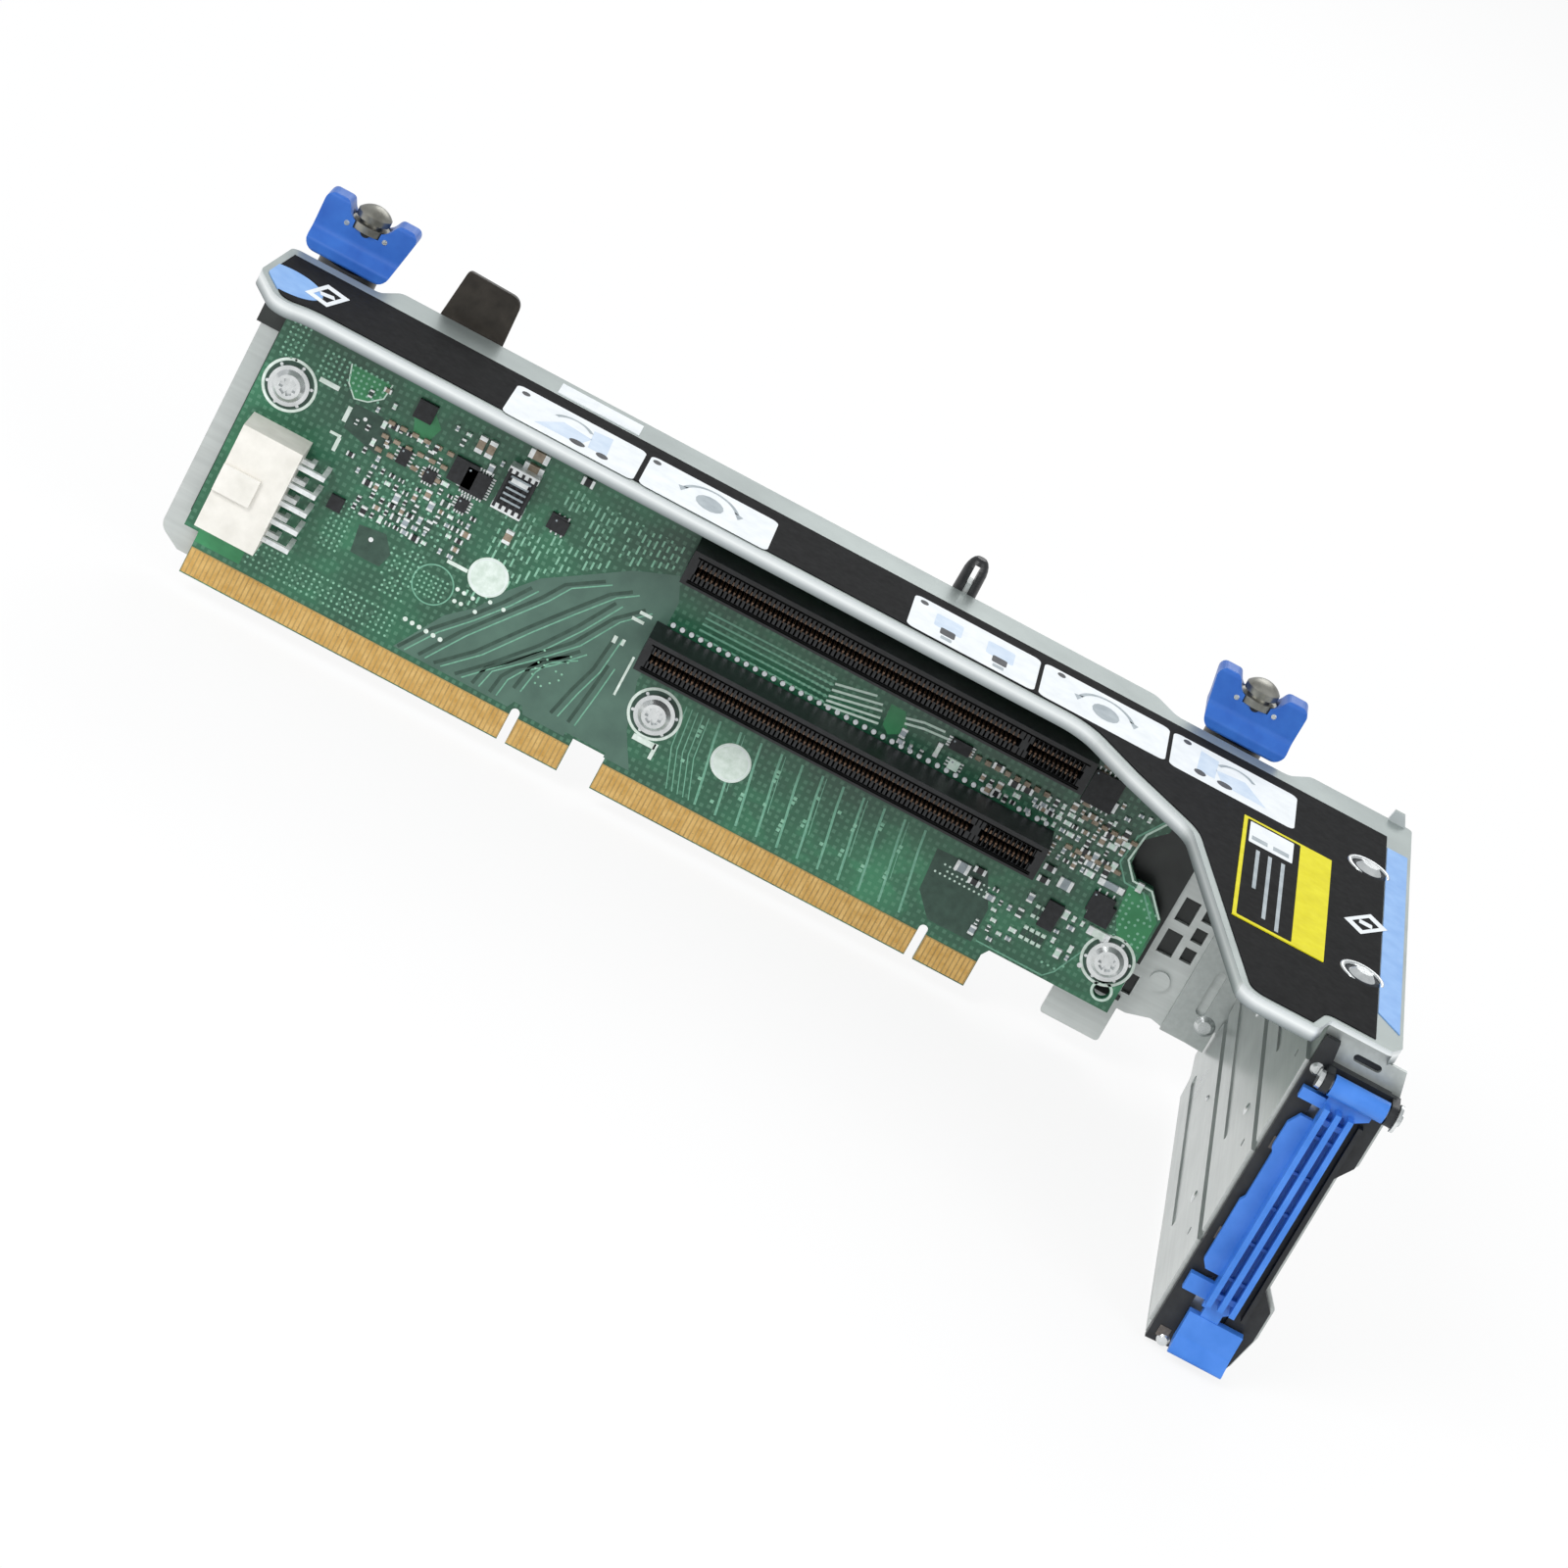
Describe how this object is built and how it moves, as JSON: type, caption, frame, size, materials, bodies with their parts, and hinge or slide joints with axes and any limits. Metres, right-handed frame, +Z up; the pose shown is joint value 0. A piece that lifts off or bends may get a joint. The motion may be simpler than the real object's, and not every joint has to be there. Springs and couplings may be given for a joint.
{
  "type": "server riser cage",
  "caption": "Folded steel riser cage with a green riser board carrying card slots, rear slot covers, a blue swing latch and blue quarter-turn fasteners.",
  "frame": {"origin": "lower left corner of the right-hand card-edge section, on the riser board's front face", "axes": "+X along the card edge towards the rear bracket, +Y to the back of the board, +Z up from the card edge to the top cover"},
  "size_m": [0.2571, 0.14, 0.0841],
  "materials": {
    "sheet_steel": "zinc-plated sheet, satin",
    "bright_steel": "bright plated",
    "stud_steel": "dull plated",
    "board_green": "solder mask, glossy",
    "contact_gold": "gold plated",
    "tinned_pin": "tinned",
    "connector_black": "moulded, matt",
    "header_white": "moulded, matt",
    "insulator_black": "film, satin",
    "frame_black": "moulded, satin",
    "touch_blue": "moulded, satin",
    "label_black": "printed film, satin",
    "label_yellow": "printed film",
    "label_white": "printed film",
    "label_blue": "printed film",
    "component_black": "moulded",
    "component_tan": "ceramic"
  },
  "bodies": {
    "cage": {"riser_board": "board_green", "edge_contacts": "contact_gold", "slot_housing_lower": "connector_black", "slot_housing_upper": "connector_black", "slot_contacts_lower": "contact_gold", "slot_contacts_upper": "contact_gold", "power_header": "header_white", "header_pins": "tinned_pin", "board_screws": "bright_steel", "insulator_sheet": "insulator_black", "board_carrier": "sheet_steel", "top_cover": "sheet_steel", "cover_label": "label_black", "side_sticker": "label_yellow", "back_sticker": "label_white", "touch_point": "label_blue", "touch_strip": "label_blue", "rear_bracket": "sheet_steel", "slot_cover_1": "sheet_steel", "slot_cover_2": "sheet_steel", "slot_cover_3": "sheet_steel", "latch_frame": "frame_black", "latch_pin": "bright_steel", "latch_clip": "bright_steel", "cover_rivets": "bright_steel", "bracket_rivets": "bright_steel", "frame_rivets": "bright_steel", "rear_stud": "frame_black", "left_bushing": "frame_black", "right_bushing": "frame_black", "locating_pin": "frame_black", "locating_core": "sheet_steel", "lift_tab": "insulator_black", "power_inductor": "component_black", "board_chips": "component_black", "small_parts": "component_tan"},
    "latch": {"slot_latch": "touch_blue"},
    "left_turn": {"left_knob": "touch_blue", "left_stud": "stud_steel"},
    "right_turn": {"right_knob": "touch_blue", "right_stud": "stud_steel"}
  },
  "joints": [
    {"name": "latch_hinge", "type": "hinge", "parent": "cage", "child": "latch", "pos_m": [0.1456, -0.11, 0.0583], "axis": [-1, 0, 0], "range_deg": [0, 95]},
    {"name": "left_quarter_turn", "type": "hinge", "parent": "cage", "child": "left_turn", "pos_m": [-0.0902, 0.018, 0.0615], "axis": [0, 0, 1], "range_deg": [0, 90]},
    {"name": "right_quarter_turn", "type": "hinge", "parent": "cage", "child": "right_turn", "pos_m": [0.1092, 0.018, 0.0615], "axis": [0, 0, 1], "range_deg": [0, 90]}
  ]
}
